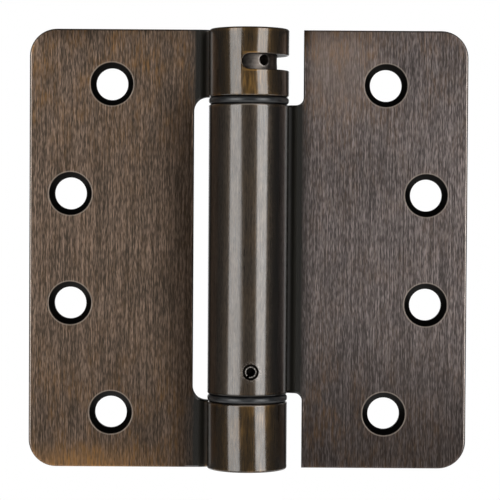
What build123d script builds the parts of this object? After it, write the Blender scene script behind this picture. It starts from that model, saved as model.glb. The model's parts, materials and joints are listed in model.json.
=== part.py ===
from build123d import *

import os
from math import acos, asin, atan2, cos, degrees, floor, radians, sin, sqrt

# Self-closing door hinge, in millimetres: two rolled steel leaves, and a torsion spring inside the
# long middle knuckle. The pin axis is Z. The frame leaf lies towards -X and the door leaf towards +X,
# opened flat, with their countersunk faces towards -Y. The origin is on the axis at mid-height.

# Leaves
leaf_height = 101.6
leaf_reach = 50.8
sheet = 2.5
closed_gap = 1.6
corner_radius = 6.35
edge_round = 0.5
notch_margin = 0.25
frame_notch_land = 0.25
door_notch_radius = 1.8

# Knuckles rolled from the leaves
barrel_diameter = 18.5
end_knuckle_length = 15.65
swage_radius = 6.75
seam_gap = 0.2

# Countersunk screw holes, two pairs a leaf
outer_hole_spacing = 76.2
inner_hole_spacing = 25.4
outer_hole_setback = 19.05
inner_hole_setback = 9.525
screw_hole_diameter = 7.4
countersink_diameter = 10.0
countersink_angle = 82
countersink_round = 0.2

# Slot in the top knuckle, where the tension is set
tension_slot_height = 3.5
tension_slot_sweep = 200
tension_slot_round = 0.25

# Flanged nylon bearings
bearing_flange = 1.6
flange_round = 0.7
sleeve_length = 7.0

# Turned spindles
journal_diameter = 9.4
head_recess = 0.6
head_chamfer = 0.5
pilot_chamfer = 0.3
key_socket_flats = 5.0
key_socket_depth = 5.0
lock_hole_diameter = 2.5
lock_hole_depth = 3.5
lock_hole_rise = 0.45
lock_hole_count = 6
first_lock_hole_angle = -58
pilot_length = 6.0
anchor_length = 11.0
journal_end_gap = 0.5

# Slotted spring pin that fixes the anchor spindle in the barrel
anchor_pin_diameter = 3.1
anchor_pin_wall = 0.5
anchor_pin_length = 7.5
anchor_pin_split = 0.6
anchor_pin_split_angle = 150
anchor_pin_setback = 5.7
anchor_pin_angle = -85
anchor_pin_recess = 0.25
anchor_pin_chamfer = 0.2

# Torsion spring of square wire
spring_wire = 2.5
coil_gap = 0.5
tang_bend = 1.7
tang_cover = 1.5

# Plug that closes the bottom knuckle
plug_length = 4.0
plug_recess = 0.4
plug_chamfer = 0.4

# Clearances
end_play = 0.05
seat_clearance = 0.03
journal_clearance = 0.1
spindle_clearance = 0.3
spring_clearance = 0.35
tang_clearance = 0.1

# Section of the sheet: the flat leaf stands behind the axis by half the closed gap, bends back in the
# swage, and then rolls round the axis until its lip nearly meets the swage again
barrel_radius = barrel_diameter / 2
bore_radius = barrel_radius - sheet
leaf_front = closed_gap / 2
leaf_back = leaf_front + sheet
swage_centre_y = leaf_back + swage_radius
swage_to_axis = swage_radius + barrel_radius
swage_centre_x = sqrt(swage_to_axis**2 - swage_centre_y**2)
root_angle = 180 - degrees(atan2(swage_centre_y, swage_centre_x))
swage_turn = root_angle - 90
front_radius = swage_radius + sheet
lip_cosine = (barrel_radius**2 + swage_to_axis**2 - front_radius**2) / (2 * barrel_radius * swage_to_axis)
lip_angle = root_angle + degrees(acos(lip_cosine) + seam_gap / barrel_radius)
roll_turn = 360 - (lip_angle - root_angle)
through_sheet = 2 * sheet

# Heights along the axis
leaf_end = leaf_height / 2
knuckle_start = leaf_end - end_knuckle_length
knuckle_middle = (knuckle_start + leaf_end) / 2
flange_end = knuckle_start - end_play
flange_start = flange_end - bearing_flange
barrel_end = flange_start - end_play

# Notches beside the barrel, cut just past the swage
notch_reach = swage_centre_x + notch_margin
frame_notch_radius = notch_reach - barrel_radius - frame_notch_land

# Fits on the axis
journal_radius = journal_diameter / 2
bearing_bore_radius = journal_radius + journal_clearance
seat_radius = bore_radius - seat_clearance
head_radius = bore_radius - spindle_clearance
anchor_pin_radius = anchor_pin_diameter / 2
anchor_pin_z = -barrel_end + anchor_pin_setback

# Spring, and the slotted pilots of the two spindles that hold its tangs
coil_radius = bore_radius - spring_clearance - spring_wire / 2
bend_centre_x = sqrt((coil_radius - tang_bend) ** 2 - tang_bend**2)
bend_angle = degrees(atan2(tang_bend, bend_centre_x))
pilot_radius = bend_centre_x - tang_clearance
tang_slot_width = spring_wire + 2 * tang_clearance
tang_slot_depth = tang_cover + spring_wire + tang_clearance
upper_pilot_top = barrel_end - sleeve_length
upper_pilot_end = upper_pilot_top - pilot_length
upper_tang_z = upper_pilot_end + tang_cover + spring_wire / 2
lower_pilot_foot = -barrel_end + anchor_length
lower_pilot_end = lower_pilot_foot + pilot_length
lower_tang_z = lower_pilot_end - tang_cover - spring_wire / 2
spring_height = upper_tang_z - lower_tang_z
coil_turns = floor(spring_height / (spring_wire + coil_gap)) - 2 * bend_angle / 360

os.makedirs("parts", exist_ok=True)


def polar(radius, angle, z=0):
    """Point at a radius and an angle round the axis, from +X towards +Y."""
    return (radius * cos(radians(angle)), radius * sin(radians(angle)), z)


def radial_half_plane(angle):
    """Plane through the axis, with its x direction outwards at the angle and its y direction along +Z."""
    return Plane(origin=(0, 0, 0), x_dir=polar(1, angle), z_dir=polar(1, angle - 90))


def radial_face_plane(radius, angle, z):
    """Plane that faces outwards at a radius and an angle round the axis."""
    return Plane(origin=polar(radius, angle, z), x_dir=(0, 0, 1), z_dir=polar(1, angle))


def draw_rolled_sheet():
    """Section of a leaf that reaches towards -X, in the sketch that is open."""
    swage_centre = (-swage_centre_x, swage_centre_y)
    with BuildLine() as section:
        Line((-leaf_reach, leaf_back), (-swage_centre_x, leaf_back))
        CenterArc(swage_centre, swage_radius, -90, swage_turn)
        CenterArc((0, 0), barrel_radius, root_angle, -roll_turn)
        Line(polar(barrel_radius, lip_angle), polar(bore_radius, lip_angle))
        CenterArc((0, 0), bore_radius, lip_angle, roll_turn)
        CenterArc(swage_centre, front_radius, swage_turn - 90, -swage_turn)
        Line((-swage_centre_x, leaf_front), (-leaf_reach, leaf_front))
        Line((-leaf_reach, leaf_front), (-leaf_reach, leaf_back))
    make_face(section.edges())


def draw_blank(side):
    """Outline of a leaf and its whole barrel, with the outer corners rounded, towards -X or +X."""
    with Locations((side * (leaf_reach - barrel_radius) / 2, 0)):
        blank = Rectangle(leaf_reach + barrel_radius, leaf_height)
    outer_corners = blank.vertices().group_by(Axis.X)[0 if side < 0 else -1]
    fillet(outer_corners, corner_radius)


def round_cut_edges(leaf):
    """Rounds the edges where the blank was cut out, along both faces of the sheet."""
    cut_faces = leaf.faces().filter_by(Axis.X) + leaf.faces().filter_by(Axis.Z)
    for corner in leaf.faces().filter_by(GeomType.CYLINDER):
        if corner.axis_of_rotation.is_parallel(Axis.Y):
            cut_faces.append(corner)
    straight = cut_faces.edges().filter_by(GeomType.LINE)
    curved = cut_faces.edges().filter_by(GeomType.LINE, reverse=True)
    fillet(curved + straight.filter_by(Axis.X) + straight.filter_by(Axis.Z), edge_round)


def screw_hole_planes(side):
    """Planes on the front of a leaf at its four screw holes."""
    outer_x = side * (leaf_reach - outer_hole_setback)
    inner_x = side * (leaf_reach - inner_hole_setback)
    places = [(outer_x, z * outer_hole_spacing / 2) for z in (-1, 1)]
    places += [(inner_x, z * inner_hole_spacing / 2) for z in (-1, 1)]
    return [Plane(origin=(x, leaf_front, z), x_dir=(1, 0, 0), z_dir=(0, -1, 0)) for x, z in places]


def cut_screw_holes(leaf, side):
    """Four countersunk holes through a leaf, with the rims of the countersinks rounded."""
    with Locations(*screw_hole_planes(side)):
        CounterSinkHole(screw_hole_diameter / 2, countersink_diameter / 2, through_sheet, countersink_angle)
    front_face = leaf.faces().filter_by(Axis.Y).sort_by(Axis.Y)[0]
    fillet(front_face.inner_wires().edges(), countersink_round)


def largest_pierced_roll(leaf):
    """Outer face of the knuckle that a slot or a hole goes through."""
    rolls = leaf.faces().filter_by(GeomType.CYLINDER)
    return rolls.filter_by(lambda face: face.inner_wires()).sort_by(SortBy.AREA)[-1]


def tang_plane(z):
    """Level plane whose x direction lies along the tangs. The coil starts at +X, one bend before it."""
    return Plane(origin=(0, 0, z), x_dir=polar(1, bend_angle), z_dir=(0, 0, 1))


def cut_tang_slot(end_z, direction):
    """Slot across the axis for the spring's tang, from the free end of a pilot."""
    with BuildSketch(tang_plane(end_z)) as slot:
        Rectangle(4 * pilot_radius, tang_slot_width)
    extrude(slot.sketch, amount=direction * tang_slot_depth, mode=Mode.SUBTRACT)


def draw_tang(side):
    """Wire end in plan: bent in from the coil, then straight across the axis. The upper one has side +1."""
    half = spring_wire / 2
    inner = tang_bend - half
    outer = tang_bend + half
    bend_turn = side * (90 + bend_angle)
    bend_centre = Vector(bend_centre_x, side * tang_bend)
    outwards = Vector(*polar(1, side * bend_angle))
    with BuildLine() as wire_end:
        Line(bend_centre + outwards * inner, bend_centre + outwards * outer)
        CenterArc(bend_centre, outer, side * bend_angle, -bend_turn)
        Line((bend_centre_x, -side * half), (-pilot_radius, -side * half))
        Line((-pilot_radius, -side * half), (-pilot_radius, side * half))
        Line((-pilot_radius, side * half), (bend_centre_x, side * half))
        CenterArc(bend_centre, inner, -side * 90, bend_turn)
    make_face(wire_end.edges())


# Frame leaf: the two end knuckles, the slotted one on top
with BuildPart() as frame_leaf:
    with BuildSketch():
        draw_rolled_sheet()
    extrude(amount=leaf_end, both=True)
    with BuildSketch(Plane.XZ):
        draw_blank(-1)
        notch_width = notch_reach + barrel_diameter
        with Locations((notch_width / 2 - notch_reach, 0)):
            RectangleRounded(notch_width, 2 * knuckle_start, frame_notch_radius, mode=Mode.SUBTRACT)
    extrude(amount=barrel_diameter, both=True, mode=Mode.INTERSECT)
    round_cut_edges(frame_leaf)
    slot_end_angle = degrees(asin(tension_slot_height / barrel_diameter))
    slot_start_angle = -tension_slot_sweep / 2 + slot_end_angle
    with BuildSketch(radial_half_plane(slot_start_angle)):
        with Locations((barrel_radius, knuckle_middle)):
            Rectangle(2 * through_sheet, tension_slot_height)
    revolve(axis=Axis.Z, revolution_arc=-2 * slot_start_angle, mode=Mode.SUBTRACT)
    for slot_angle in (slot_start_angle, -slot_start_angle):
        with Locations(radial_face_plane(barrel_radius, slot_angle, knuckle_middle)):
            Cylinder(tension_slot_height / 2, 2 * through_sheet, mode=Mode.SUBTRACT)
    fillet(largest_pierced_roll(frame_leaf).inner_wires().edges(), tension_slot_round)
    cut_screw_holes(frame_leaf, -1)
frame_leaf.part.label = "frame_leaf"
export_step(frame_leaf.part, "parts/frame_leaf.step")

# Door leaf: the long middle knuckle
with BuildPart() as door_leaf:
    with BuildSketch():
        draw_rolled_sheet()
        mirror(about=Plane.YZ, mode=Mode.REPLACE)
    extrude(amount=leaf_end, both=True)
    with BuildSketch(Plane.XZ):
        draw_blank(1)
        notch_width = notch_reach + barrel_diameter
        for end in (-1, 1):
            with Locations((notch_reach - notch_width / 2, end * (barrel_end + leaf_height / 2))):
                RectangleRounded(notch_width, leaf_height, door_notch_radius, mode=Mode.SUBTRACT)
    extrude(amount=barrel_diameter, both=True, mode=Mode.INTERSECT)
    round_cut_edges(door_leaf)
    with Locations(radial_face_plane(barrel_radius + sheet, anchor_pin_angle, anchor_pin_z)):
        Hole(anchor_pin_radius + seat_clearance, 2 * through_sheet)
    chamfer(largest_pierced_roll(door_leaf).inner_wires().edges(), anchor_pin_chamfer)
    cut_screw_holes(door_leaf, 1)
door_leaf.part.label = "door_leaf"
export_step(door_leaf.part, "parts/door_leaf.step")


def make_bearing(flange_foot):
    """Flanged bearing in the part that is open, with its sleeve downwards from the flange."""
    with BuildSketch(Plane.XZ) as profile:
        with Locations((bearing_bore_radius, flange_foot)):
            Rectangle(barrel_radius - bearing_bore_radius, bearing_flange, align=Align.MIN)
        fillet(profile.vertices().group_by(Axis.X)[-1], flange_round)
        with Locations((bearing_bore_radius, flange_foot)):
            Rectangle(
                seat_radius - bearing_bore_radius,
                sleeve_length + end_play,
                align=(Align.MIN, Align.MAX),
            )
    revolve(profile.sketch, axis=Axis.Z)


# Upper bearing: its sleeve goes down into the barrel
with BuildPart() as upper_bearing:
    make_bearing(flange_start)
upper_bearing.part.label = "upper_bearing"
export_step(upper_bearing.part, "parts/upper_bearing.step")

# Lower bearing: its sleeve goes down into the bottom knuckle
with BuildPart() as lower_bearing:
    make_bearing(-flange_end)
lower_bearing.part.label = "lower_bearing"
export_step(lower_bearing.part, "parts/lower_bearing.step")

# Tension spindle: a drilled head in the top knuckle, a journal, and the slotted pilot
with BuildPart() as tension_spindle:
    head_top = leaf_end - head_recess
    with BuildSketch(Plane.XY.offset(knuckle_start)):
        Circle(head_radius)
    extrude(amount=head_top - knuckle_start)
    chamfer(tension_spindle.edges().group_by(Axis.Z)[-1], head_chamfer)
    with BuildSketch(Plane.XY.offset(upper_pilot_top)):
        Circle(journal_radius)
    extrude(amount=knuckle_start - upper_pilot_top)
    with BuildSketch(Plane.XY.offset(upper_pilot_end)):
        Circle(pilot_radius)
    extrude(amount=pilot_length)
    chamfer(tension_spindle.edges().group_by(Axis.Z)[0], pilot_chamfer)
    cut_tang_slot(upper_pilot_end, 1)
    with BuildSketch(Plane.XY.offset(head_top)):
        RegularPolygon(key_socket_flats / 2, 6, major_radius=False)
    extrude(amount=-key_socket_depth, mode=Mode.SUBTRACT)
    lock_hole_z = knuckle_middle + lock_hole_rise
    lock_hole_angles = [first_lock_hole_angle + i * 360 / lock_hole_count for i in range(lock_hole_count)]
    with Locations(*[radial_face_plane(head_radius, angle, lock_hole_z) for angle in lock_hole_angles]):
        Hole(lock_hole_diameter / 2, lock_hole_depth)
tension_spindle.part.label = "tension_spindle"
export_step(tension_spindle.part, "parts/tension_spindle.step")

# Anchor spindle: fixed in the barrel, with a journal down into the lower bearing
with BuildPart() as anchor_spindle:
    journal_foot = -leaf_end + plug_recess + plug_length + journal_end_gap
    with BuildSketch(Plane.XY.offset(-barrel_end)):
        Circle(seat_radius)
    extrude(amount=anchor_length)
    with BuildSketch(Plane.XY.offset(journal_foot)):
        Circle(journal_radius)
    extrude(amount=-barrel_end - journal_foot)
    with BuildSketch(Plane.XY.offset(lower_pilot_foot)):
        Circle(pilot_radius)
    extrude(amount=pilot_length)
    chamfer(anchor_spindle.edges().group_by(Axis.Z)[-1], pilot_chamfer)
    cut_tang_slot(lower_pilot_end, -1)
    with Locations(radial_face_plane(barrel_radius, anchor_pin_angle, anchor_pin_z)):
        Hole(anchor_pin_radius + seat_clearance, anchor_pin_recess + anchor_pin_length + seat_clearance)
anchor_spindle.part.label = "anchor_spindle"
export_step(anchor_spindle.part, "parts/anchor_spindle.step")

# Anchor pin: rolled tube with a split along it
with BuildPart() as anchor_pin:
    with BuildSketch(radial_face_plane(barrel_radius - anchor_pin_recess, anchor_pin_angle, anchor_pin_z)):
        Circle(anchor_pin_radius)
        Circle(anchor_pin_radius - anchor_pin_wall, mode=Mode.SUBTRACT)
        with PolarLocations(anchor_pin_radius, 1, anchor_pin_split_angle):
            Rectangle(anchor_pin_diameter, anchor_pin_split, mode=Mode.SUBTRACT)
    extrude(amount=-anchor_pin_length)
anchor_pin.part.label = "anchor_pin"
export_step(anchor_pin.part, "parts/anchor_pin.step")

# Torsion spring: left-hand coil with both tangs across the axis
with BuildPart() as torsion_spring:
    with BuildLine(Plane.XY.offset(lower_tang_z)):
        Helix(spring_height / coil_turns, spring_height, coil_radius, lefthand=True)
    with BuildSketch(radial_half_plane(0)):
        with Locations((coil_radius, lower_tang_z)):
            Rectangle(spring_wire, spring_wire)
    sweep(is_frenet=True)
    for tang_side, tang_z in ((-1, lower_tang_z), (1, upper_tang_z)):
        with BuildSketch(tang_plane(tang_z - spring_wire / 2)):
            draw_tang(tang_side)
        extrude(amount=spring_wire)
torsion_spring.part.label = "torsion_spring"
export_step(torsion_spring.part, "parts/torsion_spring.step")

# Bottom plug: closes the bottom knuckle below the anchor spindle
with BuildPart() as bottom_plug:
    with BuildSketch(Plane.XY.offset(-leaf_end + plug_recess)):
        Circle(seat_radius)
    extrude(amount=plug_length)
    chamfer(bottom_plug.edges().filter_by(GeomType.CIRCLE), plug_chamfer)
bottom_plug.part.label = "bottom_plug"
export_step(bottom_plug.part, "parts/bottom_plug.step")
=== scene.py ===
import json
from math import atan2, cos, floor, pi, radians, sin, sqrt

import bmesh
import bpy
from mathutils import Matrix, Vector

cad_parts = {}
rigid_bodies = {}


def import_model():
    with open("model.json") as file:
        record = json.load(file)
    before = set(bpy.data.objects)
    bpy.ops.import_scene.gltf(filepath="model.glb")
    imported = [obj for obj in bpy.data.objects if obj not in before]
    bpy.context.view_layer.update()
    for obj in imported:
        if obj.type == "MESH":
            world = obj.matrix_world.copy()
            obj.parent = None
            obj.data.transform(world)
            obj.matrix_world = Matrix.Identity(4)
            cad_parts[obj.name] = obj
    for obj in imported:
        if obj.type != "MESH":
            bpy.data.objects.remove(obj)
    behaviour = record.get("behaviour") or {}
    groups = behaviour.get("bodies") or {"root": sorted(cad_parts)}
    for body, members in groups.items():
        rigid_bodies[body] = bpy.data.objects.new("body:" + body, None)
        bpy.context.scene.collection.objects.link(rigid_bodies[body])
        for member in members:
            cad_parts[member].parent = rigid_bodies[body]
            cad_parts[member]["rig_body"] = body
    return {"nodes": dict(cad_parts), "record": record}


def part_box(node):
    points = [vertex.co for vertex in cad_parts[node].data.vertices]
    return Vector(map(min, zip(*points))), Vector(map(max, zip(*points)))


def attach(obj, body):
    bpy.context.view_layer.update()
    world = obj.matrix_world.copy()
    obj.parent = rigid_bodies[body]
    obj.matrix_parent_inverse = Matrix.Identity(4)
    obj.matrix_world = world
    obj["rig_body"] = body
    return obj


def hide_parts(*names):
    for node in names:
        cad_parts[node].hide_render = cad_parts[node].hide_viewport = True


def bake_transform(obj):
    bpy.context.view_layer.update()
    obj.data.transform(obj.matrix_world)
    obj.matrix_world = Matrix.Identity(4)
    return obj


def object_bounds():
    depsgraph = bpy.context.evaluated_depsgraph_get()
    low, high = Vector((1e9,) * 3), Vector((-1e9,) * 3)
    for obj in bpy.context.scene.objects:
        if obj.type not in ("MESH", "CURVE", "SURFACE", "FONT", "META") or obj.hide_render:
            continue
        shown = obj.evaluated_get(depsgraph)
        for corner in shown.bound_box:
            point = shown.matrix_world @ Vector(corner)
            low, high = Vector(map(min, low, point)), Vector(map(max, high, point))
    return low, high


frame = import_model()
cad_low, cad_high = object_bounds()
scene = bpy.context.scene
scene.view_settings.view_transform = "Standard"

# Self-closing hinge in oil-rubbed bronze, opened flat and seen square from its countersunk side.
# The pin axis is Z, and the countersunk faces look towards -Y. Sizes are in millimetres, as the
# materials use them, and MM turns them into the metres of the meshes, lamps and camera.
MM = 0.001

# Leaves and knuckles
bearing_flange = 1.6
swage_reach = 12.45
countersink_radius = 5.0
screw_hole_radius = 3.7
leaf_reach = -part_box("frame_leaf")[0].x / MM
leaf_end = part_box("frame_leaf")[1].z / MM
leaf_back = 3.3
barrel_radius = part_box("upper_bearing")[1].x / MM
knuckle_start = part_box("upper_bearing")[1].z / MM
barrel_end = knuckle_start - bearing_flange
slot_z = (knuckle_start + leaf_end) / 2
slot_half = 1.75

# Anchor pin, which shows at the front of the barrel, and the lock holes round the tension spindle's head
pin_angle = radians(-85)
pin_hole_radius = 1.58
pin_z = (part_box("anchor_pin")[0].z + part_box("anchor_pin")[1].z) / 2 / MM
lock_hole_radius = 1.25
lock_hole_step = radians(60)
first_lock_hole = radians(-58)
lock_hole_z = slot_z + 0.45
spindle_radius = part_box("tension_spindle")[1].x / MM

# Torsion spring of square wire: heights are those of the wire's middle
spring_wire = 2.5
wire_round = 0.2
coil_gap = 0.5
tang_bend = 1.7
tang_clearance = 0.1
spring_low, spring_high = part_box("torsion_spring")
coil_radius = spring_high.x / MM - spring_wire / 2
coil_foot = spring_low.z / MM + spring_wire / 2
coil_top = spring_high.z / MM - spring_wire / 2
coil_middle = (coil_foot + coil_top) / 2
bend_reach = sqrt((coil_radius - tang_bend) ** 2 - tang_bend**2)
bend_angle = atan2(tang_bend, bend_reach)
coil_turns = floor((coil_top - coil_foot) / (spring_wire + coil_gap)) - bend_angle / pi
points_a_turn = 56
points_a_bend = 14
points_a_wire_corner = 3


class Value:
    """A socket in a node tree; arithmetic on it adds Math nodes."""

    def __init__(self, wiring, socket):
        self.wiring = wiring
        self.socket = socket

    def math(self, operation, *values):
        return self.wiring.node("ShaderNodeMath", {"operation": operation}, dict(enumerate(values)))

    def __add__(self, other):
        return self.math("ADD", self, other)

    def __radd__(self, other):
        return self.math("ADD", other, self)

    def __sub__(self, other):
        return self.math("SUBTRACT", self, other)

    def __rsub__(self, other):
        return self.math("SUBTRACT", other, self)

    def __mul__(self, other):
        return self.math("MULTIPLY", self, other)

    def __rmul__(self, other):
        return self.math("MULTIPLY", other, self)

    def __abs__(self):
        return self.math("ABSOLUTE", self)

    def least(self, other):
        return self.math("MINIMUM", self, other)

    def most(self, other):
        return self.math("MAXIMUM", self, other)

    def across(self, other):
        """Distance that two offsets at right angles make."""
        return self.math("SQRT", self * self + other * other)

    def rise(self, start, end):
        """Smooth step from 0 at start to 1 at end."""
        sockets = {"Value": self, "From Min": start, "From Max": end}
        return self.wiring.node("ShaderNodeMapRange", {"interpolation_type": "SMOOTHSTEP"}, sockets)

    def fall(self, start, end):
        """Smooth step from 1 at start to 0 at end."""
        return 1 - self.rise(start, end)


class Wiring:
    """A node tree that is being built."""

    def __init__(self, tree):
        self.tree = tree
        self.tree.nodes.clear()

    def node(self, kind, settings, sockets, output=0):
        """Adds a node: its settings first, then its sockets, with a list for one that takes several."""
        node = self.tree.nodes.new(kind)
        for name, value in settings.items():
            setattr(node, name, value)
        for name, given in sockets.items():
            for value in given if isinstance(given, list) else [given]:
                if isinstance(value, Value):
                    self.tree.links.new(value.socket, node.inputs[name])
                else:
                    node.inputs[name].default_value = value
        return Value(self, node.outputs[output]) if node.outputs else None


class Finish(Wiring):
    """A material, with the place on the piece in millimetres."""

    def __init__(self, name):
        self.material = bpy.data.materials.new(name)
        self.material.use_nodes = True
        super().__init__(self.material.node_tree)

    def place(self):
        """Place on the piece in millimetres."""
        own = self.node("ShaderNodeTexCoord", {}, {}, "Object")
        return self.node("ShaderNodeVectorMath", {"operation": "SCALE"}, {0: own, "Scale": 1 / MM})

    def axes(self, place):
        """The place's x, y and z."""
        return [self.node("ShaderNodeSeparateXYZ", {}, {0: place}, axis) for axis in "XYZ"]

    def noise(self, place, grain, detail=2.0, roughness=0.5):
        """Noise whose grain has these lengths in millimetres along x, y and z."""
        stretched = self.node("ShaderNodeVectorMath", {"operation": "DIVIDE"}, {0: place, 1: grain})
        sockets = {"Vector": stretched, "Scale": 1.0, "Detail": detail, "Roughness": roughness}
        return self.node("ShaderNodeTexNoise", {}, sockets)

    def mix(self, share, first, second):
        """Colour that goes from the first to the second as the share goes from 0 to 1."""
        sockets = {0: share, 6: with_alpha(first), 7: with_alpha(second)}
        return self.node("ShaderNodeMix", {"data_type": "RGBA"}, sockets, 2)

    def bump(self, height):
        """Normal of a surface whose relief has this height in millimetres."""
        return self.node("ShaderNodeBump", {}, {"Height": height, "Distance": MM})

    def coat(self, sockets):
        """Ends the material in one Principled shader."""
        return self.show(self.node("ShaderNodeBsdfPrincipled", {}, sockets))

    def show(self, shader):
        """Ends the material in a shader."""
        self.node("ShaderNodeOutputMaterial", {}, {"Surface": shader})
        return self.material


def with_alpha(colour):
    """A colour written as three numbers gets its alpha; a linked one stays as it is."""
    return colour if isinstance(colour, Value) else (*colour, 1.0)


# Colours of the oil-rubbed bronze: brushed on the flats, dark patina under clear lacquer where it is rolled,
# and colours of painted shade and painted highlights
brown_shadow = (0.056, 0.043, 0.032)
brown_light = (0.470, 0.330, 0.246)
slate_shadow = (0.067, 0.056, 0.052)
slate_light = (0.465, 0.392, 0.372)
# Colour of a painted highlight near the top of the right leaf's inner side
slate_painted_highlight = (0.500, 0.370, 0.290)
leaf_copper = (0.400, 0.205, 0.070)
# Dark colour of the painted shade on the flat leaves
leaf_painted_shade = (0.012, 0.007, 0.004)
barrel_patina = (0.078, 0.060, 0.044)
knuckle_patina = (0.047, 0.029, 0.012)
# Black of the painted shade in the swage, the bend between leaf and barrel
swage_shade_black = (0.028, 0.026, 0.022)
knuckle_copper = (0.300, 0.160, 0.040)
# Near-black of the oil streaks on the knuckles, also used as painted shade
oil_and_shade_black = (0.006, 0.005, 0.004)
# Pale bronze of worn outer edges and dents, painted lighter as highlights
edge_wear_and_highlight_bronze = (0.300, 0.265, 0.240)
# Light colour of the painted highlights on rims
rim_highlight_bronze = (0.520, 0.440, 0.370)
# Black of the painted shade in the countersinks and screw holes
countersink_shade_black = (0.010, 0.009, 0.008)
lacquer_ior = 1.75
lacquer_roughness = 0.14

# Colours of the other pieces
# Pale steel of the painted highlights on the lock holes' rims and the anchor pin's end
steel_highlight = (0.560, 0.520, 0.480)
spindle_dark = (0.055, 0.046, 0.040)
spindle_light = (0.150, 0.132, 0.118)
spring_grey = (0.120, 0.108, 0.096)
spring_oil = (0.050, 0.040, 0.030)
nylon_dark = (0.010, 0.011, 0.012)
nylon_light = (0.022, 0.023, 0.024)

# Grain of the brushed and rubbed bronze: lengths along x, y and z, and the span of noise that shows
short_brush = (0.17, 0.17, 1.5)
long_brush = (0.17, 0.17, 12.0)
brush_contrast = (0.36, 0.64)
scratch_grain = (0.5, 0.5, 14.0)
scratch_contrast = (0.0, 0.05)
streak_grain = (0.4, 0.4, 4.0)
streak_contrast = (0.4, 0.7)
rub_grain = (5.0, 5.0, 9.0)
rub_contrast = (0.35, 0.65)
dent_grain = (0.4, 0.4, 0.4)
dent_contrast = (0.45, 0.65)

# Tones, copper wear, painted shade and a painted highlight of the flat leaves: spans along x and z, over
# which a tone comes or goes
brown_to_slate_x = (-10.0, 12.0)
# Spans of the painted highlight near the top of the right leaf's inner side
highlight_z = (22.0, 44.0)
highlight_start_x = (12.0, 16.0)
highlight_end_x = (20.0, 36.0)
end_wear_z = (14.0, leaf_end)
less_wear_x = (10.0, 40.0)
gold_z = (-leaf_end, 7.0 - leaf_end)
gold_x = (-36.0, -14.0)
barrel_shade_side = (swage_reach, 25.0)
clear_top_z = (28.0, 44.0)
seam_shade_side = (swage_reach, 15.5)
foot_shade_z = (-leaf_end, -8.0)
foot_shade_x = (-34.0, 0.0)
corner_z = (20.0, 44.0)
corner_x = (26.0, 40.0)
top_edge_z = (leaf_end - 5.5, leaf_end)
left_edge_x = (-44.0, -24.0)
right_edge_start_x = (0.0, 12.0)
right_edge_end_x = (20.0, 38.0)

# Wear, painted shade and painted highlights of the rolled knuckles: spans along x, or away from an edge
# Span of the painted shade on the middle barrel's right side
shaded_side_x = (3.0, 7.0)
front_x = 1.0
front_span = (1.0, 5.0)
end_rub_span = (0.2, 1.2)
bearing_wear_z = (knuckle_start, knuckle_start + 9.0)
rim_span = (0.25, 0.6)
foot_rim_span = (0.3, 0.9)
slot_rim_z = slot_half + 0.1
slot_rim_span = (0.2, 0.5)
slot_rim_start_x = (-2.0, 0.0)
slot_rim_end_x = (1.0, 3.0)
crease_start = (10.9, 11.5)
crease_end = (13.5, 15.0)
dent_reach = (1.8, 2.9)


def from_pin(x, y, z):
    """Distance from the anchor pin's axis."""
    return (y * cos(pin_angle) - x * sin(pin_angle)).across(z - pin_z)


def from_lock_holes(x, y, z):
    """Distance from the nearest lock hole's axis, along the tension spindle's round."""
    angle = y.math("ARCTAN2", y, x) - first_lock_hole
    nearest = angle.math("WRAP", angle, lock_hole_step / 2, -lock_hole_step / 2)
    return (nearest * spindle_radius).across(z - lock_hole_z)


def screw_holes():
    """Places of the frame leaf's upper screw holes, as |x| and z, from the record's screw patterns."""
    mounts = frame["record"]["mounts"]
    patterns = [m for m in mounts if m["kind"] == "bolt_pattern" and m["name"].startswith("frame")]
    return [(abs(m["pos_m"][0]) / MM, m["dims"]["spacing_y_mm"] / 2) for m in patterns]


def leaf_tone(finish, x, z, brush, copper):
    """Colour of the flat leaves: brown on the left, slate on the right, with painted shade by the barrel and
    the ends and a painted highlight high on the right leaf.
    """
    side, height = abs(x), abs(z)
    on_right = x.rise(*brown_to_slate_x)
    shadow = finish.mix(on_right, brown_shadow, slate_shadow)
    light = finish.mix(on_right, brown_light, slate_light)
    tone = finish.mix(brush * brush, shadow, light)
    # Painted highlight: lighter towards the top of the right leaf's inner side
    top_painted_highlight = 0.25 * z.rise(*highlight_z) * x.rise(*highlight_start_x) * x.fall(*highlight_end_x)
    tone = finish.mix(top_painted_highlight, tone, slate_painted_highlight)
    end_wear = height.rise(*end_wear_z) * (1 - 0.75 * x.rise(*less_wear_x))
    foot_edge = z.fall(*gold_z) * x.fall(*gold_x)
    foot_gold = (0.15 + 0.55 * brush) * foot_edge
    tone = finish.mix(foot_gold + copper * (0.1 + 0.6 * end_wear), tone, leaf_copper)
    # Painted shade: darker by the barrel, along the seam, towards the foot, at the right leaf's top outer
    # corner and along the top edge
    left_shade = 0.75 * side.fall(*barrel_shade_side) * (1 - 0.85 * z.rise(*clear_top_z)) * (1 - on_right)
    seam_shade = 0.55 * side.fall(*seam_shade_side) * on_right
    foot_shade = (0.3 + 0.35 * x.rise(*foot_shade_x)) * z.fall(*foot_shade_z) * (1 - 0.7 * foot_edge)
    corner_shade = 0.12 * z.rise(*corner_z) * x.rise(*corner_x)
    on_right_edge = x.rise(*right_edge_start_x) * x.fall(*right_edge_end_x)
    edge_share = 0.1 + 0.4 * x.fall(*left_edge_x) + 0.25 * on_right_edge
    top_shade = corner_shade + edge_share * z.rise(*top_edge_z)
    return finish.mix(left_shade.most(seam_shade).most(foot_shade) + top_shade, tone, leaf_painted_shade)


def barrel_foot_rim_shade(z):
    """Share of the painted shade on the rim at the barrel's foot."""
    return abs(z + barrel_end).fall(*foot_rim_span)


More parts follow.
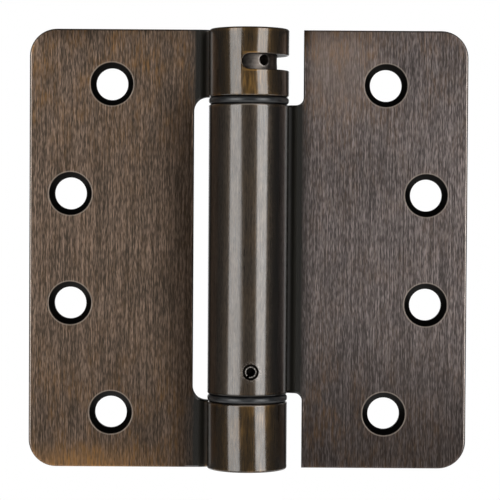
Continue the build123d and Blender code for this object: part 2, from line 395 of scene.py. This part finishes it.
def knuckle_tone(finish, x, z, brush, copper):
    """Colour of the rolled knuckles: copper by their ends, painted highlights on up-facing rims, painted
    shade on the barrel's right side and foot rim.
    """
    height = abs(z)
    on_end_knuckle = height.rise(barrel_end, knuckle_start)
    # Painted shade: the middle barrel darker on its right side
    barrel_tone = finish.mix(0.85 * x.rise(*shaded_side_x), barrel_patina, oil_and_shade_black)
    tone = finish.mix(on_end_knuckle, barrel_tone, knuckle_patina)
    tone = finish.mix(0.75 * brush, tone, oil_and_shade_black)
    from_end = abs(height - knuckle_start).least(abs(height - leaf_end)).least(abs(height - barrel_end))
    end_rub = from_end.fall(*end_rub_span)
    at_front = abs(x - front_x).fall(*front_span)
    by_bearing = height.fall(*bearing_wear_z)
    knuckle_wear = on_end_knuckle * (0.1 + 0.15 * at_front + 0.7 * by_bearing * at_front)
    copper_share = copper * (0.04 + 0.06 * at_front + knuckle_wear + 0.6 * end_rub)
    tone = finish.mix(copper_share.least(1.0) * (1 - barrel_foot_rim_shade(z)), tone, knuckle_copper)
    # Painted highlights on the rims that face up: the middle barrel's top and the foot knuckle's top
    barrel_top_rim_highlight = 0.95 * abs(z - barrel_end).fall(*rim_span)
    foot_knuckle_rim_highlight = 0.6 * abs(z + knuckle_start).fall(*rim_span)
    tone = finish.mix(at_front * barrel_top_rim_highlight.most(foot_knuckle_rim_highlight), tone, rim_highlight_bronze)
    # Painted highlight in copper along the slot's upper and lower rims
    by_slot = abs(abs(z - slot_z) - slot_rim_z).fall(*slot_rim_span)
    slot_rim_highlight = 0.6 * by_slot * x.rise(*slot_rim_start_x) * x.fall(*slot_rim_end_x)
    tone = finish.mix(slot_rim_highlight, tone, knuckle_copper)
    # Painted shade on the barrel's foot rim, which faces down
    return finish.mix(0.8 * barrel_foot_rim_shade(z), tone, oil_and_shade_black)


def oil_rubbed_bronze():
    """Finish of the leaves and the plug: brushed flats, lacquered knuckles, painted shade in countersinks and
    crevices, painted highlights on rims.
    """
    finish = Finish("oil_rubbed_bronze")
    place = finish.place()
    x, y, z = finish.axes(place)
    side, height, radius = abs(x), abs(z), x.across(y)
    short_grain = finish.noise(place, short_brush, detail=1.0).rise(*brush_contrast)
    long_grain = finish.noise(place, long_brush, detail=1.0).rise(*brush_contrast)
    scratches = abs(finish.noise(place, scratch_grain) - 0.5).fall(*scratch_contrast)
    brush = 0.5 * short_grain + 0.4 * long_grain + 0.15 * scratches
    streaks = finish.noise(place, streak_grain, detail=3.0, roughness=0.6).rise(*streak_contrast)
    rubbed = finish.noise(place, rub_grain).rise(*rub_contrast)
    copper = streaks * rubbed
    soft_copper = rubbed * (0.2 + 0.7 * streaks)
    rolled = side.fall(swage_reach - 0.3, swage_reach + 0.6)
    on_barrel = radius.fall(barrel_radius + 0.2, barrel_radius + 1.0)
    in_bore = radius.fall(barrel_radius - 0.55, barrel_radius - 0.2)
    on_door_leaf = x.rise(-1.0, 1.0)
    beside_knuckle = abs(on_door_leaf - height.rise(barrel_end, knuckle_start))
    in_crease = side.rise(*crease_start) * side.fall(*crease_end) * beside_knuckle

    # Painted shade: the rolled bend between leaf and barrel is black off the barrel
    rolled_tone = finish.mix(on_barrel, swage_shade_black, knuckle_tone(finish, x, z, brush, soft_copper))
    # Painted shade: black nearer the axis than the barrel's skin, in the bore and on the inner parts of the
    # slot's walls and knuckle ends
    rolled_tone = finish.mix(in_bore, rolled_tone, oil_and_shade_black)
    colour = finish.mix(rolled, leaf_tone(finish, x, z, brush, copper), rolled_tone)
    # Outer edges: polished wear with lower roughness, and a lighter colour as a painted highlight
    outer_edge = side.rise(leaf_reach - 0.7, leaf_reach - 0.35)
    colour = finish.mix(outer_edge * 0.6, colour, edge_wear_and_highlight_bronze)
    from_holes = [(side - hole_x).across(height - hole_z) for hole_x, hole_z in screw_holes()]
    from_hole = from_holes[0].least(from_holes[1])
    on_front = y.fall(leaf_back - 0.8, leaf_back - 0.3)
    in_countersink = on_front * from_hole.fall(countersink_radius - 0.1, countersink_radius + 0.12)
    in_hole = from_hole.fall(screw_hole_radius + 0.02, screw_hole_radius + 0.1)
    # Painted highlight on the countersinks' rims, and painted shade in the countersinks and holes
    rim = on_front * from_hole.fall(countersink_radius + 0.15, countersink_radius + 0.35)
    colour = finish.mix(rim * 0.45, colour, rim_highlight_bronze)
    colour = finish.mix(in_countersink.most(in_hole), colour, countersink_shade_black)

    # The pin shows at the front only, so places further back count as far from it
    pin_distance = from_pin(x, y, z) + y.rise(-4.0, 0.0) * leaf_end
    # Staking dents round the pin: in the bump, and lighter in colour as painted highlights
    dents = finish.noise(place, dent_grain).rise(*dent_contrast) * pin_distance.fall(*dent_reach)
    colour = finish.mix(dents * 0.45, colour, edge_wear_and_highlight_bronze)
    # Painted shadow: black in the gap round the anchor pin
    pin_gap_shadow = pin_distance.fall(pin_hole_radius + 0.2, pin_hole_radius + 0.35)
    colour = finish.mix(pin_gap_shadow, colour, oil_and_shade_black)
    leaf_roughness = 0.47 - 0.12 * brush - 0.14 * outer_edge
    rolled_roughness = 0.4 + 0.1 * brush
    lacquer = on_barrel * (1 - in_bore) * (1 - pin_gap_shadow) * (1 - 0.6 * barrel_foot_rim_shade(z))
    return finish.coat({
        "Base Color": colour,
        "Metallic": 1.0,
        "Roughness": leaf_roughness + (rolled_roughness - leaf_roughness) * rolled,
        "Coat Weight": (lacquer * (0.8 + 0.2 * streaks)).most(in_crease),
        "Coat IOR": lacquer_ior,
        "Coat Roughness": lacquer_roughness,
        "Normal": finish.bump(0.004 * brush * (1 - rolled) - 0.01 * dents),
    })


def blackened_steel():
    """Finish of the turned spindles: dark, with fine lathe rings and painted highlights on the rims round the
    lock holes.
    """
    finish = Finish("blackened_steel")
    place = finish.place()
    x, y, z = finish.axes(place)
    rings = finish.noise(place, (30.0, 30.0, 0.14), detail=3.0).rise(0.3, 0.7)
    stain = finish.noise(place, (1.2, 1.2, 0.9)).rise(0.35, 0.7)
    tone = finish.mix(rings * 0.5 + stain * 0.5, spindle_dark, spindle_light)
    hole_distance = from_lock_holes(x, y, z)
    # Painted highlight on the rims round the lock holes
    lock_hole_rim_highlight = hole_distance.rise(lock_hole_radius - 0.2, lock_hole_radius)
    lock_hole_rim_highlight *= hole_distance.fall(lock_hole_radius + 0.1, lock_hole_radius + 0.4)
    lock_hole_rim_highlight *= x.across(y).rise(spindle_radius - 0.6, spindle_radius - 0.1)
    tone = finish.mix(lock_hole_rim_highlight * (0.1 + 0.3 * stain), tone, steel_highlight)
    return finish.coat({
        "Base Color": tone,
        "Metallic": 1.0,
        "Roughness": 0.36 + 0.12 * stain,
        "Normal": finish.bump(0.003 * rings),
    })


def rolled_pin_steel():
    """Finish of the anchor pin: a painted highlight round its bore, and painted black shade round its edge
    and inside.
    """
    finish = Finish("rolled_pin_steel")
    place = finish.place()
    x, y, z = finish.axes(place)
    scuffs = finish.noise(place, (0.3, 0.3, 0.3)).rise(0.4, 0.65)
    pin_distance = from_pin(x, y, z)
    # Painted highlight: a thin bright ring on the end face by the bore; the rest is black as painted shade
    bright = pin_distance.rise(1.02, 1.1) * pin_distance.fall(1.2, 1.36)
    tone = finish.mix(bright * (0.15 + 0.5 * scuffs), oil_and_shade_black, steel_highlight)
    return finish.coat({
        "Base Color": tone,
        "Metallic": 1.0,
        "Roughness": 0.45 + 0.15 * scuffs,
        "Normal": finish.bump(0.004 * scuffs),
    })


def oiled_spring_steel():
    """Finish of the drawn spring wire: grey under a brown film of oil."""
    finish = Finish("oiled_spring_steel")
    place = finish.place()
    film = finish.noise(place, (1.1, 1.1, 1.1), detail=3.0).rise(0.35, 0.68)
    scuffs = finish.noise(place, (0.25, 0.25, 0.25)).rise(0.4, 0.7)
    tone = finish.mix(film, spring_grey, spring_oil)
    return finish.coat({
        "Base Color": tone,
        "Metallic": 1.0,
        "Roughness": 0.28 + 0.2 * scuffs,
        "Normal": finish.bump(0.003 * scuffs),
    })


def moulded_nylon():
    """Finish of the bearings: black, satin, faintly cloudy."""
    finish = Finish("moulded_nylon")
    place = finish.place()
    skin = finish.noise(place, (0.3, 0.3, 0.3))
    clouds = finish.noise(place, (2.0, 2.0, 0.8)).rise(0.35, 0.7)
    tone = finish.mix(clouds, nylon_dark, nylon_light)
    return finish.coat({
        "Base Color": tone,
        "Roughness": 0.3 + 0.12 * clouds,
        "Specular IOR Level": 0.6,
        "Normal": finish.bump(0.004 * skin),
    })


def new_piece(name, data):
    """Object in the scene whose data already lies in its place."""
    piece = bpy.data.objects.new(name, data)
    scene.collection.objects.link(piece)
    return piece


# Merged copies of the CAD nodes are smooth over their roundings and sharp at their corners
merge_distance = 0.004
sharp_angle = 38


def smooth_copy(node, material):
    """Smooth copy of a CAD node that takes the node's place."""
    source = frame["nodes"][node]
    mesh = source.data.copy()
    form = bmesh.new()
    form.from_mesh(mesh)
    bmesh.ops.remove_doubles(form, verts=form.verts, dist=merge_distance * MM)
    for face in form.faces:
        face.smooth = True
    for edge in form.edges:
        edge.smooth = edge.calc_face_angle(0.0) < radians(sharp_angle)
    form.to_mesh(mesh)
    form.free()
    if "custom_normal" in mesh.attributes:
        mesh.attributes.remove(mesh.attributes["custom_normal"])
    mesh.materials.clear()
    mesh.materials.append(material)
    piece = new_piece(node + "_finish", mesh)
    normals = piece.modifiers.new("Weighted normals", "WEIGHTED_NORMAL")
    normals.keep_sharp = True
    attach(piece, source["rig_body"])
    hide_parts(node)


def round_the_axis(radius, angle, height=0.0):
    """Point at a radius and an angle round the pin axis, in metres."""
    return Vector((radius * cos(angle), radius * sin(angle), height)) * MM


def half_spring_tree():
    """Node tree that bends a tang's outline, runs it on into a left-hand coil, and makes both square wire."""
    tree = bpy.data.node_groups.new("half_spring", "GeometryNodeTree")
    sizes = ("Bend radius", "Coil radius", "Turns", "Height", "Wire", "Wire rounding", "Joining distance")
    tree.interface.new_socket("Tang", in_out="INPUT", socket_type="NodeSocketGeometry")
    for name in sizes:
        tree.interface.new_socket(name, in_out="INPUT", socket_type="NodeSocketFloat")
    tree.interface.new_socket("Steel", in_out="INPUT", socket_type="NodeSocketMaterial")
    tree.interface.new_socket("Half spring", in_out="OUTPUT", socket_type="NodeSocketGeometry")
    wiring = Wiring(tree)

    def given(name):
        return wiring.node("NodeGroupInput", {}, {}, name)

    def shaped(kind, settings, sockets):
        return wiring.node("GeometryNode" + kind, settings, sockets)

    outline = shaped("MeshToCurve", {}, {"Mesh": given("Tang")})
    tang = shaped("FilletCurve", {"mode": "POLY"}, {
        "Curve": outline,
        "Count": points_a_bend,
        "Radius": given("Bend radius"),
    })
    coil = shaped("CurveSpiral", {}, {
        "Resolution": points_a_turn,
        "Rotations": given("Turns"),
        "Start Radius": given("Coil radius"),
        "End Radius": given("Coil radius"),
        "Height": given("Height"),
        "Reverse": True,
    })
    parts = [shaped("CurveToMesh", {}, {"Curve": curve}) for curve in (tang, coil)]
    ends = shaped("JoinGeometry", {}, {"Geometry": parts})
    joined = shaped("MergeByDistance", {}, {"Geometry": ends, "Distance": given("Joining distance")})
    course = shaped("MeshToCurve", {}, {"Mesh": joined})
    path = shaped("SetCurveNormal", {"mode": "Z_UP"}, {"Curve": course})
    square = shaped("CurvePrimitiveQuadrilateral", {}, {"Width": given("Wire"), "Height": given("Wire")})
    section = shaped("FilletCurve", {"mode": "POLY"}, {
        "Curve": square,
        "Count": points_a_wire_corner,
        "Radius": given("Wire rounding"),
    })
    wire = shaped("CurveToMesh", {}, {"Curve": path, "Profile Curve": section, "Fill Caps": True})
    coated = shaped("SetMaterial", {}, {"Geometry": wire, "Material": given("Steel")})
    realized = shaped("RealizeInstances", {}, {"Geometry": coated})
    wiring.node("NodeGroupOutput", {}, {"Half spring": realized})
    return tree


def half_spring_mesh(material):
    """Mesh of half the torsion spring: its tang at height 0, its coil upwards to the spring's middle."""
    corner = round_the_axis(coil_radius / cos(bend_angle), bend_angle)
    tang_end = round_the_axis(tang_clearance - bend_reach, bend_angle)
    outline = bpy.data.meshes.new("tang_outline")
    outline.from_pydata([tang_end, corner, round_the_axis(coil_radius, 0)], [(0, 1), (1, 2)], [])
    tang = new_piece("tang_outline", outline)
    inputs = {
        "Bend radius": tang_bend * MM,
        "Coil radius": coil_radius * MM,
        "Turns": coil_turns / 2,
        "Height": (coil_middle - coil_foot) * MM,
        "Wire": spring_wire * MM,
        "Wire rounding": wire_round * MM,
        "Joining distance": merge_distance * MM,
        "Steel": material,
    }
    maker = tang.modifiers.new("Half spring", "NODES")
    maker.node_group = half_spring_tree()
    for socket in maker.node_group.interface.items_tree:
        if socket.name in inputs:
            maker[socket.identifier] = inputs[socket.name]
    evaluated = tang.evaluated_get(bpy.context.evaluated_depsgraph_get())
    mesh = bpy.data.meshes.new_from_object(evaluated)
    bpy.data.objects.remove(tang)
    return mesh


def wind_spring(material):
    """Torsion spring in two halves that meet at its middle, in place of the CAD spring."""
    lower_mesh = half_spring_mesh(material)
    upper_mesh = lower_mesh.copy()
    lower_mesh.transform(Matrix.Translation((0, 0, coil_foot * MM)))
    turned_over = Matrix.Rotation(pi, 4, round_the_axis(1, bend_angle))
    upper_mesh.transform(Matrix.Translation((0, 0, coil_top * MM)) @ turned_over)
    lower = new_piece("spring_lower_half", lower_mesh)
    upper = new_piece("spring_upper_half", upper_mesh)
    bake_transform(lower)
    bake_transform(upper)
    for half in (lower, upper):
        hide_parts("torsion_spring")


bronze = oil_rubbed_bronze()
blackened = blackened_steel()
nylon = moulded_nylon()
for rolled_piece in ("frame_leaf", "door_leaf", "bottom_plug"):
    smooth_copy(rolled_piece, bronze)
for spindle in ("tension_spindle", "anchor_spindle"):
    smooth_copy(spindle, blackened)
for bearing in ("upper_bearing", "lower_bearing"):
    smooth_copy(bearing, nylon)
smooth_copy("anchor_pin", rolled_pin_steel())
wind_spring(oiled_spring_steel())

# Camera, in metres and degrees, near a fit to the leaves' edges and screw holes in the photograph
camera_distance = 0.470
view_width = 0.1158
camera_elevation = 1.5
camera_roll = 0.36
view_shift = (0.00045, -0.00015)
near_clip = 0.01


def place_camera():
    """Camera in front of the hinge, a little above its middle and rolled with the photograph."""
    tilt, roll = radians(camera_elevation), radians(camera_roll)
    back = Vector((0, -cos(tilt), sin(tilt)))
    level_right = Vector((1, 0, 0))
    level_up = back.cross(level_right)
    right = level_right * cos(roll) + level_up * sin(roll)
    up = level_up * cos(roll) - level_right * sin(roll)
    lens = bpy.data.cameras.new("photo_camera")
    lens.lens = lens.sensor_width * camera_distance / view_width
    lens.clip_start = near_clip
    camera = new_piece("photo_camera", lens)
    place = back * camera_distance + right * view_shift[0] + up * view_shift[1]
    camera.matrix_world = Matrix.Translation(place) @ Matrix((right, up, back)).transposed().to_4x4()
    scene.camera = camera


# Stage, in metres and degrees: the hinge's barrel stands on a slim white post, high over a white floor
post_radius = 0.008
floor_z = -0.35
floor_half = 0.8
paper_dark = (0.80, 0.80, 0.80)
paper_light = (0.84, 0.84, 0.84)
paper_glow = 1.2
paper_shadow_share = 0.2
room_grey = 0.1
white_behind = 11.5
room_behind = 24.0
softbox_distance = 1.0
softbox_foot = -0.3
softbox_top = 0.6


def white_paper():
    """Stage paper that the camera and the metal see as white, with a share of the shadows on it."""
    finish = Finish("white_paper")
    tooth = finish.noise(finish.place(), (3.0, 3.0, 3.0))
    tone = finish.mix(tooth, paper_dark, paper_light)
    paper = finish.node("ShaderNodeBsdfDiffuse", {}, {"Color": tone})
    white = finish.node("ShaderNodeEmission", {}, {"Strength": paper_glow})
    rays = ("Is Camera Ray", "Is Glossy Ray", "Is Transmission Ray")
    camera, glossy, transmission = [finish.node("ShaderNodeLightPath", {}, {}, ray) for ray in rays]
    seen = camera.most(glossy).most(transmission)
    return finish.show(finish.node("ShaderNodeMixShader", {}, {
        0: seen * (1 - paper_shadow_share),
        1: paper,
        2: white,
    }))


def paper_stage(name, form, material):
    """Stage object of white paper from a finished form."""
    mesh = bpy.data.meshes.new(name)
    form.to_mesh(mesh)
    form.free()
    mesh.materials.append(material)
    new_piece(name, mesh)


def lay_floor(material):
    """White floor, and the post on it under the barrel."""
    ground = bmesh.new()
    bmesh.ops.create_grid(ground, size=floor_half, matrix=Matrix.Translation((0, 0, floor_z)))
    paper_stage("floor", ground, material)
    post = bmesh.new()
    post_height = cad_low.z - floor_z
    bmesh.ops.create_cone(post, cap_ends=True, segments=64, radius1=post_radius, radius2=post_radius,
                          depth=post_height, matrix=Matrix.Translation((0, 0, floor_z + post_height / 2)))
    paper_stage("post", post, material)


def studio_room():
    """World that is white to the camera and right behind the hinge, and a dim room everywhere else."""
    room = bpy.data.worlds.new("studio_room")
    room.use_nodes = True
    wiring = Wiring(room.node_tree)
    direction = wiring.node("ShaderNodeTexCoord", {}, {}, "Generated")
    backwards = wiring.node("ShaderNodeSeparateXYZ", {}, {0: direction}, "Y")
    behind = backwards.rise(cos(radians(room_behind)), cos(radians(white_behind)))
    seen = behind.most(wiring.node("ShaderNodeLightPath", {}, {}, "Is Camera Ray"))
    dim = wiring.node("ShaderNodeBackground", {}, {"Color": (room_grey, room_grey, room_grey, 1.0)})
    white = wiring.node("ShaderNodeBackground", {}, {"Color": (1.0, 1.0, 1.0, 1.0)})
    surface = wiring.node("ShaderNodeMixShader", {}, {0: seen, 1: dim, 2: white})
    wiring.node("ShaderNodeOutputWorld", {}, {"Surface": surface})
    scene.world = room


def softbox(name, azimuth, width, radiance):
    """Upright rectangular lamp that faces the pin axis, at an azimuth off the camera's side."""
    outwards = Vector((sin(radians(azimuth)), -cos(radians(azimuth)), 0))
    height = softbox_top - softbox_foot
    lamp = bpy.data.lights.new(name, "AREA")
    lamp.shape = "RECTANGLE"
    lamp.size, lamp.size_y = width, height
    lamp.energy = radiance * pi * width * height
    middle = outwards * softbox_distance + Vector((0, 0, (softbox_foot + softbox_top) / 2))
    turn = outwards.to_track_quat("Z", "Y").to_matrix().to_4x4()
    new_piece(name, lamp).matrix_world = Matrix.Translation(middle) @ turn


def build_stage():
    """White floor and post, a dim room and two tall softboxes."""
    lay_floor(white_paper())
    studio_room()
    softbox("left_softbox", azimuth=-38.7, width=0.6, radiance=3.5)
    softbox("right_softbox", azimuth=39.0, width=0.52, radiance=4.5)


place_camera()
build_stage()
